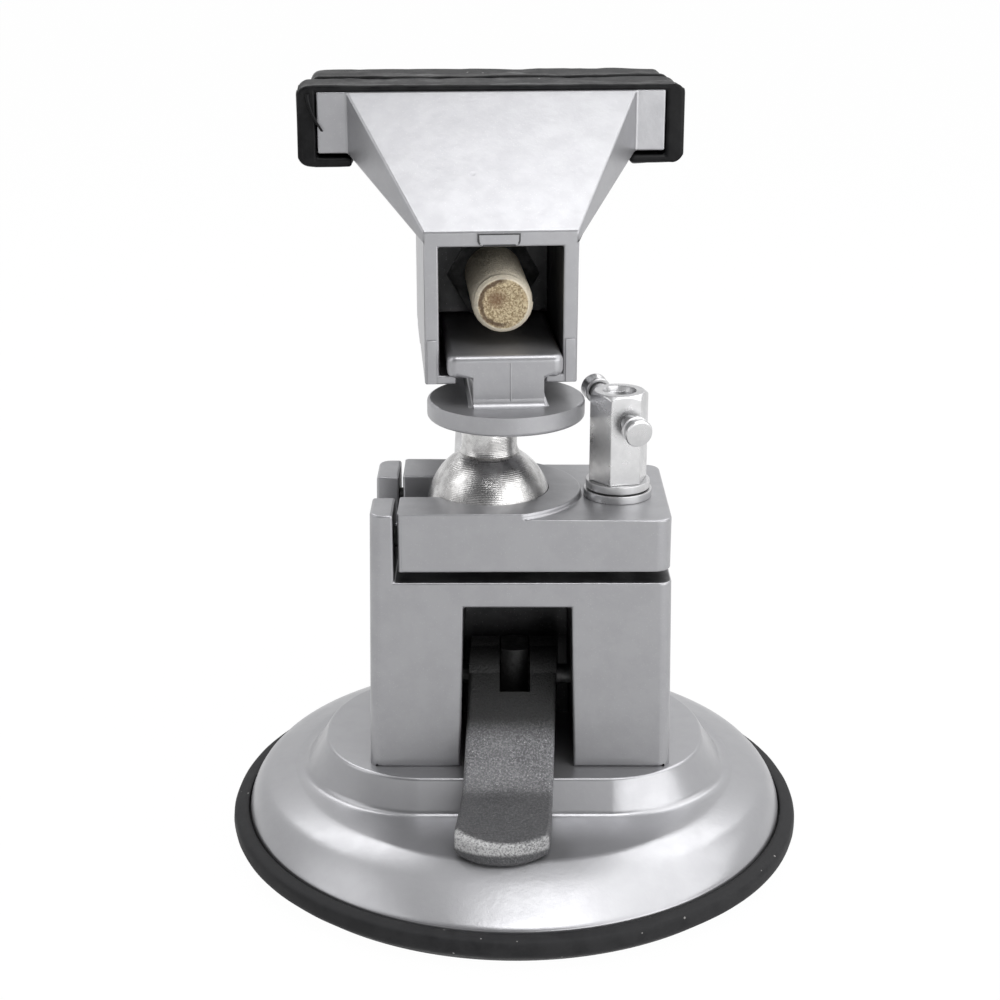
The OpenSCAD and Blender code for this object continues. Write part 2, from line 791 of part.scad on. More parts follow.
module moving_jaw_cap() {
    color([0.06, 0.06, 0.06]) in_head() translate([jaw_off, 0, 0])
        jaw_cap(bar_y0, close_y, bar_y0 - over, close_y - cap_t, cap_side);
}

module lead_nut() {
    color([0.55, 0.55, 0.56]) in_head() difference() {
        nut_hex(wall_y0, wall_y0 + nut_t, nut_af);
        along_y(wall_y0 - over, wall_y0 + nut_t + over, screw_z, screw_r + run_fit);
    }
}

// Lead screw and its handle
module lead_screw() {
    color([0.72, 0.63, 0.42]) in_head() difference() {
        union() {
            along_y(screw_y0, shoulder_y, screw_z, screw_r);
            along_y(shoulder_y - eps, hub_y0 + eps, screw_z, journal_r);
            along_y(hub_y0, hub_y0 + hub_len, screw_z, hub_r);
        }
        difference() {
            along_y(clip_y, clip_y + clip_t, screw_z, clip_r);
            along_y(clip_y - over, clip_y + clip_t + over, screw_z, groove_r);
        }
        translate([0, handle_y, screw_z]) rotate([0, handle_turn, 0]) translate([0, 0, -2 * hub_r])
            cylinder(h = 4 * hub_r, r = handle_d / 2 + run_fit);
    }
}

module thrust_washer() {
    color([0.7, 0.7, 0.68]) in_head() difference() {
        along_y(thrust_y, thrust_y + thrust_t, screw_z, thrust_r);
        along_y(thrust_y - over, thrust_y + thrust_t + over, screw_z, journal_r + clear);
    }
}

module screw_clip() {
    y0 = clip_y + lie;
    y1 = clip_y + clip_t - lie;
    color([0.3, 0.3, 0.3]) in_head() difference() {
        along_y(y0, y1, screw_z, clip_r);
        along_y(y0 - over, y1 + over, screw_z, groove_r + set_fit);
        slab(-clip_mouth, clip_mouth, y0 - over, y1 + over, screw_z, screw_z + 2 * clip_r);
    }
}

module handle_bar() {
    color([0.72, 0.72, 0.7]) on_handle() translate([0, 0, -handle_drop - handle_len / 2])
        cylinder(h = handle_len, r = handle_d / 2);
}

module handle_ends() {
    color([0.72, 0.72, 0.7]) on_handle() translate([0, 0, -handle_drop]) for (s = [0, 180]) rotate([s, 0, 0])
        translate([0, 0, handle_len / 2 - handle_skirt]) difference() {
            cylinder(h = handle_end_h, r = handle_end_r);
            translate([0, 0, -over]) cylinder(h = over + handle_skirt + set_fit, r = handle_d / 2 + set_fit);
        }
}

base_dome();
suction_cup();
cup_plate();
cup_stem();
vacuum_lever();
lever_pins();
link_pin();
ball_housing();
housing_screws();
clamp_plate();
plate_dowels();
clamp_washer();
captive_washer();
clamp_post();
clamp_bar();
clamp_bar_ends();
ball_stud();
fixed_jaw();
fixed_jaw_cap();
moving_jaw();
moving_jaw_cap();
lead_nut();
lead_screw();
thrust_washer();
screw_clip();
handle_bar();
handle_ends();
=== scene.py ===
"""Looks of a suction-base swivel vise: grey castings, rubber jaw caps and cup, zinc fittings."""

import math

import bmesh
import bpy
from mathutils import Matrix, Vector, noise


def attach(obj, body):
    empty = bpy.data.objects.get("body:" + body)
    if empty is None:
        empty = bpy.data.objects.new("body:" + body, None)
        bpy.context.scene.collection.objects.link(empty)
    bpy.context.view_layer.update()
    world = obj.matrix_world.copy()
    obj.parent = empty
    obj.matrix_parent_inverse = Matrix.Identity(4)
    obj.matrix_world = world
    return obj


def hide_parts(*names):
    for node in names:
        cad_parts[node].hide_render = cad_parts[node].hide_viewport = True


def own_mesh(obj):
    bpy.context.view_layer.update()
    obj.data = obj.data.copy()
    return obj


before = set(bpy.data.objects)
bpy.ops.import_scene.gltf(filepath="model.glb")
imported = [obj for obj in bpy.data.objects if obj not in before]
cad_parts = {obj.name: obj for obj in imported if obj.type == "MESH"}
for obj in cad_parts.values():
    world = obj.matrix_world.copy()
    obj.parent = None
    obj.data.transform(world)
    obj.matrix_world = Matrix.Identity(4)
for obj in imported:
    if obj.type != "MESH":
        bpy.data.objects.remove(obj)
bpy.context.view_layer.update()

MM = 0.001
# Ball centre, head yaw and the offset of the slide from the neck, in millimetres and degrees
BALL = Vector((-5.0, 0.0, 68.3))
HEAD_YAW = 4.0
SLIDE_OFF = 2.7
SCREW_Z = 107.9
HEAD = (
    Matrix.Translation((BALL.x, BALL.y, 0.0))
    @ Matrix.Rotation(math.radians(HEAD_YAW), 4, "Z")
    @ Matrix.Translation((SLIDE_OFF, 0.0, 0.0))
)
# The clamp post stands on two washers right of the ball, and its cross bar leans through it
POST = Vector((19.9, -1.6, 0.0))
PLATE_TOP, LIE, WASHER_T, RING_GAP, RING_T, POST_H = 70.7, 0.02, 1.6, 0.25, 1.5, 18.7
CROSS_BAR_Z = PLATE_TOP + LIE + WASHER_T + RING_GAP + RING_T + LIE + POST_H * 0.7
CROSS_BAR_TURN, CROSS_BAR_LEAN, CROSS_BAR_SHIFT = 20, 9, 1.6
CROSS_BAR = (
    Matrix.Translation((POST.x, POST.y, CROSS_BAR_Z))
    @ Matrix.Rotation(math.radians(CROSS_BAR_TURN), 4, "Z")
    @ Matrix.Rotation(math.radians(CROSS_BAR_LEAN), 4, "X")
    @ Matrix.Translation((0.0, CROSS_BAR_SHIFT, 0.0))
)
# Lays a shape that was turned about Z along Y
LAID = Matrix.Rotation(math.radians(-90), 4, "X")


# Shader groups
def new_group(name, inputs, outputs):
    tree = bpy.data.node_groups.new(name, "ShaderNodeTree")
    for label, kind, value in inputs:
        socket = tree.interface.new_socket(label, in_out="INPUT", socket_type=kind)
        socket.default_value = value
    for label, kind in outputs:
        tree.interface.new_socket(label, in_out="OUTPUT", socket_type=kind)
    enter = tree.nodes.new("NodeGroupInput")
    leave = tree.nodes.new("NodeGroupOutput")
    return tree, enter, leave


def add(tree, kind, **values):
    node = tree.nodes.new(kind)
    for key, value in values.items():
        if hasattr(node, key):
            setattr(node, key, value)
        else:
            node.inputs[key.replace("_", " ")].default_value = value
    return node


def wire(tree, source, target):
    tree.links.new(source, target)


def maths(tree, operation, first, second):
    node = tree.nodes.new("ShaderNodeMath")
    node.operation = operation
    for socket, value in zip(node.inputs, (first, second)):
        if isinstance(value, (int, float)):
            socket.default_value = value
        else:
            wire(tree, value, socket)
    return node.outputs[0]


def ranged(tree, value, low, high, to_low=0.0, to_high=1.0):
    """Maps a value smoothly from one range to another, held at both ends."""
    node = tree.nodes.new("ShaderNodeMapRange")
    node.interpolation_type = "SMOOTHSTEP"
    node.clamp = True
    wire(tree, value, node.inputs["Value"])
    limits = (("From Min", low), ("From Max", high), ("To Min", to_low), ("To Max", to_high))
    for label, number in limits:
        node.inputs[label].default_value = number
    return node.outputs["Result"]


def blend_colour(tree, mask, first, second):
    """Mixes two colours, plain ones or ones from nodes, by a mask."""
    node = tree.nodes.new("ShaderNodeMix")
    node.data_type = "RGBA"
    wire(tree, mask, node.inputs[0])
    for socket, value in ((node.inputs[6], first), (node.inputs[7], second)):
        if isinstance(value, tuple):
            socket.default_value = (*value, 1.0)
        else:
            wire(tree, value, socket)
    return node.outputs[2]


def die_cast_group():
    """Lumps, orange peel and pin holes of a painted die casting."""
    tree, enter, leave = new_group(
        "die_cast_skin",
        [
            ("Vector", "NodeSocketVector", (0, 0, 0)),
            ("Lump", "NodeSocketFloat", 0.5),
            ("Pits", "NodeSocketFloat", 0.5),
        ],
        [("Height", "NodeSocketFloat"), ("Tone", "NodeSocketFloat"), ("Pit", "NodeSocketFloat")],
    )
    lumps = add(tree, "ShaderNodeTexNoise", Scale=150.0, Detail=2.0, Roughness=0.5)
    peel = add(tree, "ShaderNodeTexNoise", Scale=900.0, Detail=2.0, Roughness=0.6)
    tone = add(tree, "ShaderNodeTexNoise", Scale=210.0, Detail=4.0, Roughness=0.62)
    holes = add(tree, "ShaderNodeTexVoronoi", Scale=230.0, Randomness=1.0)
    patch = add(tree, "ShaderNodeTexNoise", Scale=45.0, Detail=1.0)
    for node in (lumps, peel, tone, holes, patch):
        wire(tree, enter.outputs["Vector"], node.inputs["Vector"])
    pit = ranged(tree, holes.outputs["Distance"], 0.05, 0.17, 1.0, 0.0)
    where = ranged(tree, patch.outputs["Fac"], 0.58, 0.68)
    pit = maths(tree, "MULTIPLY", maths(tree, "MULTIPLY", pit, where), enter.outputs["Pits"])
    swell = maths(tree, "MULTIPLY", lumps.outputs["Fac"], enter.outputs["Lump"])
    fine = maths(tree, "MULTIPLY", peel.outputs["Fac"], 0.04)
    raised = maths(tree, "ADD", swell, fine)
    height = maths(tree, "SUBTRACT", raised, maths(tree, "MULTIPLY", pit, 0.5))
    wire(tree, height, leave.inputs["Height"])
    wire(tree, tone.outputs["Fac"], leave.inputs["Tone"])
    wire(tree, pit, leave.inputs["Pit"])
    return tree


def speck_group():
    """Sparse specks: lint on rubber, flakes in paint."""
    tree, enter, leave = new_group(
        "sparse_specks",
        [
            ("Vector", "NodeSocketVector", (0, 0, 0)),
            ("Scale", "NodeSocketFloat", 900.0),
            ("Size", "NodeSocketFloat", 0.2),
            ("Share", "NodeSocketFloat", 0.2),
        ],
        [("Mask", "NodeSocketFloat")],
    )
    cells = add(tree, "ShaderNodeTexVoronoi", Randomness=1.0)
    wire(tree, enter.outputs["Vector"], cells.inputs["Vector"])
    wire(tree, enter.outputs["Scale"], cells.inputs["Scale"])
    near = maths(tree, "LESS_THAN", cells.outputs["Distance"], enter.outputs["Size"])
    split = add(tree, "ShaderNodeSeparateColor")
    wire(tree, cells.outputs["Color"], split.inputs["Color"])
    chosen = maths(tree, "LESS_THAN", split.outputs["Red"], enter.outputs["Share"])
    wire(tree, maths(tree, "MULTIPLY", near, chosen), leave.inputs["Mask"])
    return tree


def tool_mark_group():
    """Fine turning rings round an axis, with scratches across them."""
    tree, enter, leave = new_group(
        "tool_marks",
        [
            ("Vector", "NodeSocketVector", (0, 0, 0)),
            ("Rings", "NodeSocketFloat", 900.0),
            ("Wobble", "NodeSocketFloat", 2.0),
            ("Groove", "NodeSocketFloat", 0.6),
        ],
        [("Height", "NodeSocketFloat"), ("Tone", "NodeSocketFloat")],
    )
    rings = add(
        tree, "ShaderNodeTexWave", wave_type="BANDS", bands_direction="Z", Detail=3.0, Detail_Scale=3.0
    )
    wire(tree, enter.outputs["Vector"], rings.inputs["Vector"])
    wire(tree, enter.outputs["Rings"], rings.inputs["Scale"])
    wire(tree, enter.outputs["Wobble"], rings.inputs["Distortion"])
    grit = add(tree, "ShaderNodeTexNoise", Scale=1400.0, Detail=4.0, Roughness=0.7)
    cloud = add(tree, "ShaderNodeTexNoise", Scale=260.0, Detail=4.0, Roughness=0.65)
    wire(tree, enter.outputs["Vector"], grit.inputs["Vector"])
    wire(tree, enter.outputs["Vector"], cloud.inputs["Vector"])
    groove = maths(tree, "MULTIPLY", rings.outputs["Fac"], enter.outputs["Groove"])
    mixed = maths(tree, "ADD", groove, maths(tree, "MULTIPLY", grit.outputs["Fac"], 0.5))
    wire(tree, mixed, leave.inputs["Height"])
    wire(tree, cloud.outputs["Fac"], leave.inputs["Tone"])
    return tree


DIE_CAST = die_cast_group()
SPECKS = speck_group()
TOOL_MARKS = tool_mark_group()


def use_group(tree, group, source, **values):
    node = tree.nodes.new("ShaderNodeGroup")
    node.node_tree = group
    wire(tree, source, node.inputs["Vector"])
    for label, number in values.items():
        node.inputs[label].default_value = number
    return node


def new_finish(name, **constants):
    """A material with a Principled shader, its Object coordinates and its plain sockets set."""
    finish = bpy.data.materials.new(name)
    finish.use_nodes = True
    tree = finish.node_tree
    shader = tree.nodes["Principled BSDF"]
    for label, value in constants.items():
        shader.inputs[label.replace("_", " ")].default_value = value
    place = tree.nodes.new("ShaderNodeTexCoord").outputs["Object"]
    return finish, tree, shader, place


def bump(tree, shader, height, distance):
    node = tree.nodes.new("ShaderNodeBump")
    node.inputs["Distance"].default_value = distance
    node.inputs["Strength"].default_value = 1.0
    wire(tree, height, node.inputs["Height"])
    wire(tree, node.outputs["Normal"], shader.inputs["Normal"])


def silver_paint(name, light, dark, lump=0.4, pits=0.5, metallic=0.75, gloss=0.36, sparkle=0.09):
    """Silver-grey paint over a casting, with faint flakes and pin holes, which are painted dark as painted
    shade.
    """
    finish, tree, shader, place = new_finish(name, Metallic=metallic)
    skin = use_group(tree, DIE_CAST, place, Lump=lump, Pits=pits)
    flakes = use_group(tree, SPECKS, place, Scale=2600.0, Size=0.28, Share=0.16)
    tone = ranged(tree, skin.outputs["Tone"], 0.36, 0.64)
    colour = blend_colour(tree, tone, dark, light)
    glint = maths(tree, "MULTIPLY", flakes.outputs["Mask"], sparkle)
    colour = blend_colour(tree, glint, colour, (0.7, 0.7, 0.71))
    # Pin holes are painted dark: painted shade in the pits.
    hole = maths(tree, "MULTIPLY", skin.outputs["Pit"], 0.55)
    colour = blend_colour(tree, hole, colour, (0.12, 0.12, 0.13))
    wire(tree, colour, shader.inputs["Base Color"])
    rough = ranged(tree, skin.outputs["Tone"], 0.3, 0.7, gloss + 0.025, gloss - 0.02)
    wire(tree, rough, shader.inputs["Roughness"])
    bump(tree, shader, skin.outputs["Height"], 0.0005)
    return finish


def rubber(name, light, dark, lint, gloss=0.22, rough=0.55):
    """Black rubber, a little uneven, with specks of lint."""
    finish, tree, shader, place = new_finish(name, Metallic=0.0, Specular_IOR_Level=gloss)
    mottle = add(tree, "ShaderNodeTexNoise", Scale=240.0, Detail=5.0, Roughness=0.65)
    swell = add(tree, "ShaderNodeTexNoise", Scale=90.0, Detail=2.0)
    for node in (mottle, swell):
        wire(tree, place, node.inputs["Vector"])
    specks = use_group(tree, SPECKS, place, Scale=620.0, Size=0.13, Share=lint)
    colour = blend_colour(tree, ranged(tree, mottle.outputs["Fac"], 0.35, 0.66), dark, light)
    fluff = maths(tree, "MULTIPLY", specks.outputs["Mask"], 0.5)
    colour = blend_colour(tree, fluff, colour, (0.36, 0.35, 0.34))
    wire(tree, colour, shader.inputs["Base Color"])
    wire(tree, ranged(tree, mottle.outputs["Fac"], 0.3, 0.7, rough, rough + 0.2), shader.inputs["Roughness"])
    height = maths(tree, "ADD", maths(tree, "MULTIPLY", mottle.outputs["Fac"], 0.25), swell.outputs["Fac"])
    bump(tree, shader, height, 0.00025)
    return finish


def turned_steel(name, light, dark, rings, groove, depth, low, high, metallic=1.0):
    """Turned or plated steel; low and high are its roughness where it is bright and dull."""
    finish, tree, shader, place = new_finish(name, Metallic=metallic)
    marks = use_group(tree, TOOL_MARKS, place, Rings=rings, Groove=groove)
    colour = blend_colour(tree, ranged(tree, marks.outputs["Tone"], 0.36, 0.66), dark, light)
    wire(tree, colour, shader.inputs["Base Color"])
    wire(tree, ranged(tree, marks.outputs["Tone"], 0.3, 0.7, high, low), shader.inputs["Roughness"])
    bump(tree, shader, marks.outputs["Height"], depth)
    return finish


def sawn_screw(name):
    """Dull yellow passivated steel with a sawn end, stained brown beside its middle."""
    finish, tree, shader, place = new_finish(name, Metallic=0.25)
    grain = add(tree, "ShaderNodeTexNoise", Scale=2300.0, Detail=3.0, Roughness=0.65)
    cloud = add(tree, "ShaderNodeTexNoise", Scale=420.0, Detail=3.0, Roughness=0.6)
    for node in (grain, cloud):
        wire(tree, place, node.inputs["Vector"])
    axes = add(tree, "ShaderNodeSeparateXYZ")
    wire(tree, place, axes.inputs[0])

    def spread(x, z):
        """Distance from a point of the end face, in metres."""
        across = maths(tree, "SUBTRACT", axes.outputs["X"], x * MM)
        up = maths(tree, "SUBTRACT", axes.outputs["Z"], z * MM)
        across = maths(tree, "POWER", across, 2.0)
        up = maths(tree, "POWER", up, 2.0)
        return maths(tree, "SQRT", maths(tree, "ADD", across, up), 0.0)

    middle = HEAD @ Vector((0.0, 0.65, SCREW_Z))
    ring_r, chamfer_r = 0.0042, (0.0046, 0.0049)
    wobble = maths(tree, "MULTIPLY", maths(tree, "SUBTRACT", cloud.outputs["Fac"], 0.5), 0.0018)
    blot = maths(tree, "ADD", spread(middle.x - 1.3, middle.z + 0.9), wobble)
    ring = maths(tree, "ADD", spread(middle.x, middle.z + 0.1), wobble)
    ring = maths(tree, "ABSOLUTE", maths(tree, "SUBTRACT", ring, ring_r), 0.0)
    sawn = ranged(tree, grain.outputs["Fac"], 0.38, 0.62)
    colour = blend_colour(tree, sawn, (0.20, 0.145, 0.075), (0.47, 0.39, 0.25))
    stain = ranged(tree, cloud.outputs["Fac"], 0.5, 0.7, 0.0, 0.45)
    colour = blend_colour(tree, stain, colour, (0.34, 0.24, 0.13))
    rust = ranged(tree, blot, 0.0004, 0.0026, 0.8, 0.0)
    colour = blend_colour(tree, rust, colour, (0.12, 0.06, 0.025))
    torn = ranged(tree, axes.outputs["X"], (middle.x - 0.6) * MM, (middle.x + 1.6) * MM, 0.9, 0.0)
    torn = maths(tree, "MULTIPLY", ranged(tree, ring, 0.0002, 0.0007, 1.0, 0.0), torn)
    colour = blend_colour(tree, torn, colour, (0.06, 0.03, 0.012))
    thread = ranged(tree, axes.outputs["Y"], (middle.y + 1.2) * MM, (middle.y + 2.4) * MM, 0.0, 0.65)
    chamfer = ranged(tree, spread(middle.x, middle.z), *chamfer_r, 0.0, 0.7)
    thread = maths(tree, "MAXIMUM", thread, chamfer)
    colour = blend_colour(tree, thread, colour, (0.78, 0.72, 0.6))
    wire(tree, colour, shader.inputs["Base Color"])
    wire(tree, ranged(tree, grain.outputs["Fac"], 0.3, 0.7, 0.55, 0.34), shader.inputs["Roughness"])
    bump(tree, shader, grain.outputs["Fac"], 0.0002)
    return finish


def charcoal_paint(name):
    """Rough sparkling lever paint; lighter on the nose, partly rubbed wear and partly painted highlight;
    painted shade makes it darker past the fold and near black on the fork inside the housing.
    """
    finish, tree, shader, place = new_finish(name, Metallic=0.3)
    grain = add(tree, "ShaderNodeTexNoise", Scale=2600.0, Detail=3.0, Roughness=0.7)
    cloud = add(tree, "ShaderNodeTexNoise", Scale=160.0, Detail=3.0)
    for node in (grain, cloud):
        wire(tree, place, node.inputs["Vector"])
    sparks = use_group(tree, SPECKS, place, Scale=3000.0, Size=0.34, Share=0.3)
    coarse = use_group(tree, SPECKS, place, Scale=1700.0, Size=0.22, Share=0.1)
    axes = add(tree, "ShaderNodeSeparateXYZ")
    wire(tree, place, axes.inputs[0])
    # Where the painted shade past the fold, the painted shade on the fork and the nose begin and end, in
    # metres
    fold_shade_y, fork_shade_y = (-0.0295, -0.0265), (-0.0200, -0.0152)
    nose_y, nose_z = (-0.0375, -0.0385), (0.0142, 0.0151)
    # The lighter edge of the nose, partly rubbed wear and partly painted highlight, follows a circle, whose
    # middle lies this far left and ahead
    nose_left, nose_ahead, nose_r = 0.0016, 0.0298, (0.0121, 0.0131)
    patches = ranged(tree, cloud.outputs["Fac"], 0.35, 0.65)
    colour = blend_colour(tree, patches, (0.085, 0.085, 0.09), (0.115, 0.115, 0.12))
    grains = ranged(tree, grain.outputs["Fac"], 0.42, 0.66, 0.0, 0.8)
    colour = blend_colour(tree, grains, colour, (0.24, 0.24, 0.25))
    fine = maths(tree, "MULTIPLY", sparks.outputs["Mask"], 0.4)
    colour = blend_colour(tree, fine, colour, (0.4, 0.4, 0.4))
    bold = maths(tree, "MULTIPLY", coarse.outputs["Mask"], 0.6)
    colour = blend_colour(tree, bold, colour, (0.5, 0.5, 0.5))
    # Past the fold the blade is painted darker: painted shade.
    fold_shade = ranged(tree, axes.outputs["Y"], *fold_shade_y, 0.7, 0.0)
    colour = blend_colour(tree, fold_shade, colour, (0.045, 0.045, 0.047))
    across = maths(tree, "POWER", maths(tree, "ADD", axes.outputs["X"], nose_left), 2.0)
    along = maths(tree, "POWER", maths(tree, "ADD", axes.outputs["Y"], nose_ahead), 2.0)
    reach = maths(tree, "SQRT", maths(tree, "ADD", across, along), 0.0)
    ragged = maths(tree, "MULTIPLY", maths(tree, "SUBTRACT", grain.outputs["Fac"], 0.5), 0.0009)
    reach = maths(tree, "ADD", reach, ragged)
    front = ranged(tree, axes.outputs["Y"], *nose_y)
    nose = maths(tree, "MULTIPLY", front, ranged(tree, reach, *nose_r))
    nose = maths(tree, "MULTIPLY", nose, ranged(tree, axes.outputs["Z"], *nose_z))
    # The nose's end face is painted lighter: partly rubbed wear, partly a painted highlight.
    wear_and_highlight = maths(tree, "MULTIPLY", nose, ranged(tree, grain.outputs["Fac"], 0.32, 0.58, 0.3, 1.0))
    colour = blend_colour(tree, maths(tree, "MULTIPLY", wear_and_highlight, 0.85), colour, (0.52, 0.52, 0.52))
    # The fork inside the housing is painted near black: painted shade.
    fork_shade = ranged(tree, axes.outputs["Y"], *fork_shade_y, 0.0, 0.97)
    colour = blend_colour(tree, fork_shade, colour, (0.012, 0.012, 0.012))
    wire(tree, colour, shader.inputs["Base Color"])
    wire(tree, ranged(tree, grain.outputs["Fac"], 0.3, 0.7, 0.58, 0.42), shader.inputs["Roughness"])
    bump(tree, shader, grain.outputs["Fac"], 0.00025)
    return finish


# Name, light and dark colour, then lumps and pits, and for the dome metal share, gloss and sparkle
GREY = silver_paint("grey_casting_paint", (0.33, 0.33, 0.342), (0.313, 0.313, 0.325), 0.10, 0.3)
DOME_GREY = silver_paint(
    "grey_dome_paint", (0.337, 0.337, 0.349), (0.325, 0.325, 0.337), 0.04, 0.0, 0.75, 0.30, 0.02
)
# A near-black finish for faces deep in the castings' hollows and gaps: painted shade.
PAINTED_SHADE = silver_paint("painted_shade_inside", (0.04, 0.04, 0.042), (0.02, 0.02, 0.022), metallic=0.2)
# Name, light and dark colour, lint, then gloss and roughness
RUBBER_CUP = rubber("suction_cup_rubber", (0.016, 0.016, 0.017), (0.007, 0.007, 0.008), 0.10)
RUBBER_CAP = rubber("jaw_cap_rubber", (0.010, 0.010, 0.0105), (0.004, 0.004, 0.0045), 0.04, 0.12, 0.3)
# Name, light and dark colour, then rings, groove, depth and the least and most roughness
ZINC = turned_steel(
    "zinc_plated_steel", (0.62, 0.62, 0.625), (0.53, 0.53, 0.535), 500.0, 0.0, 0.00002, 0.26, 0.36
)
STEEL = turned_steel(
    "bare_turned_steel", (0.62, 0.615, 0.61), (0.37, 0.365, 0.36), 1050.0, 0.28, 0.00006, 0.18, 0.3
)
BLACKENED = turned_steel(
    "blackened_steel", (0.05, 0.05, 0.05), (0.02, 0.02, 0.02), 700.0, 0.2, 0.00006, 0.4, 0.6, 0.6
)
# Dark steel for the lever pins, which sit in the lever window: painted shade.
PIN_SHADE_STEEL = turned_steel(
    "pin_steel_painted_shade", (0.14, 0.14, 0.14), (0.06, 0.06, 0.06), 500.0, 0.2, 0.00005, 0.4, 0.6, 0.9
)
BRASSY = sawn_screw("yellow_passivated_screw")
LEVER = charcoal_paint("charcoal_lever_paint")


# Mesh helpers, all in millimetres until a piece is finished
def copy_of(node):
    """A merged copy of a CAD node's mesh, its flat faces joined."""
    bm = bmesh.new()
    bm.from_mesh(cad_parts[node].data)
    bmesh.ops.remove_doubles(bm, verts=bm.verts, dist=1e-6)
    bmesh.ops.scale(bm, vec=(1 / MM,) * 3, verts=bm.verts)
    bmesh.ops.dissolve_limit(bm, angle_limit=math.radians(0.4), verts=bm.verts, edges=bm.edges)
    return bm


def soften(bm, width, segments, sharp, chosen):
    """Rounds the chosen sharp edges, then drops the slivers that this leaves."""
    edges = [
        e
        for e in bm.edges
        if len(e.link_faces) == 2
        and e.calc_face_angle(0.0) > math.radians(sharp)
        and chosen((e.verts[0].co + e.verts[1].co) / 2, e)
    ]
    bmesh.ops.bevel(
        bm,
        geom=edges,
        offset=width,
        offset_type="OFFSET",
        segments=segments,
        profile=0.5,
        affect="EDGES",
        clamp_overlap=False,
        material=-1,
    )
    bmesh.ops.dissolve_degenerate(bm, dist=1e-4, edges=bm.edges)


def slice_across(bm, start, stop, step, direction):
    """Cuts a mesh into strips, so that its long faces can bend."""
    count = int(round((stop - start) / step))
    for i in range(count + 1):
        at = Vector(direction) * (start + i * step)
        geom = bm.verts[:] + bm.edges[:] + bm.faces[:]
        bmesh.ops.bisect_plane(bm, geom=geom, dist=1e-5, plane_co=at, plane_no=direction)


def spun(points, segments):
    """A closed turned shape from a profile of radius and height, about the Z axis."""
    bm = bmesh.new()
    verts = [bm.verts.new((r, 0.0, z)) for r, z in points]
    edges = [bm.edges.new(pair) for pair in zip(verts, verts[1:])]
    bmesh.ops.spin(
        bm,
        geom=verts + edges,
        cent=(0, 0, 0),
        axis=(0, 0, 1),
        angle=math.tau,
        steps=segments,
        use_merge=True,
        use_duplicate=False,
    )
    bmesh.ops.remove_doubles(bm, verts=bm.verts, dist=1e-4)
    bmesh.ops.recalc_face_normals(bm, faces=bm.faces)
    return bm


def box(size, centre):
    bm = bmesh.new()
    bmesh.ops.create_cube(bm, size=1.0)
    bmesh.ops.scale(bm, vec=size, verts=bm.verts)
    bmesh.ops.translate(bm, vec=centre, verts=bm.verts)
    return bm


def moved(bm, matrix):
    bmesh.ops.transform(bm, matrix=matrix, verts=bm.verts)
    return bm


def join(bm, other):
    mesh = bpy.data.meshes.new("join")
    other.to_mesh(mesh)
    other.free()
    bm.from_mesh(mesh)
    bpy.data.meshes.remove(mesh)


def finish_piece(name, bm, body, finishes, stands_for, sharp, inside=None):
    """Turns a bmesh into a piece that rides on its body and stands for its CAD nodes.

    Edges above the sharp angle stay crisp. Faces that inside picks get the second finish.
    """
    bmesh.ops.scale(bm, vec=(MM,) * 3, verts=bm.verts)
    mesh = bpy.data.meshes.new(name)
    if inside is not None:
        for face in bm.faces:
            face.material_index = 1 if inside(face.calc_center_median() / MM, face.normal) else 0
    bm.to_mesh(mesh)
    bm.free()
    mesh.polygons.foreach_set("use_smooth", [True] * len(mesh.polygons))
    mesh.set_sharp_from_angle(angle=math.radians(sharp))
    for finish in finishes:
        mesh.materials.append(finish)
    piece = bpy.data.objects.new(name, mesh)
    bpy.context.scene.collection.objects.link(piece)
    even = piece.modifiers.new("even_shading", "WEIGHTED_NORMAL")
    even.keep_sharp = True
    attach(piece, body)
    if stands_for:
        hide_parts(*stands_for)
    return piece


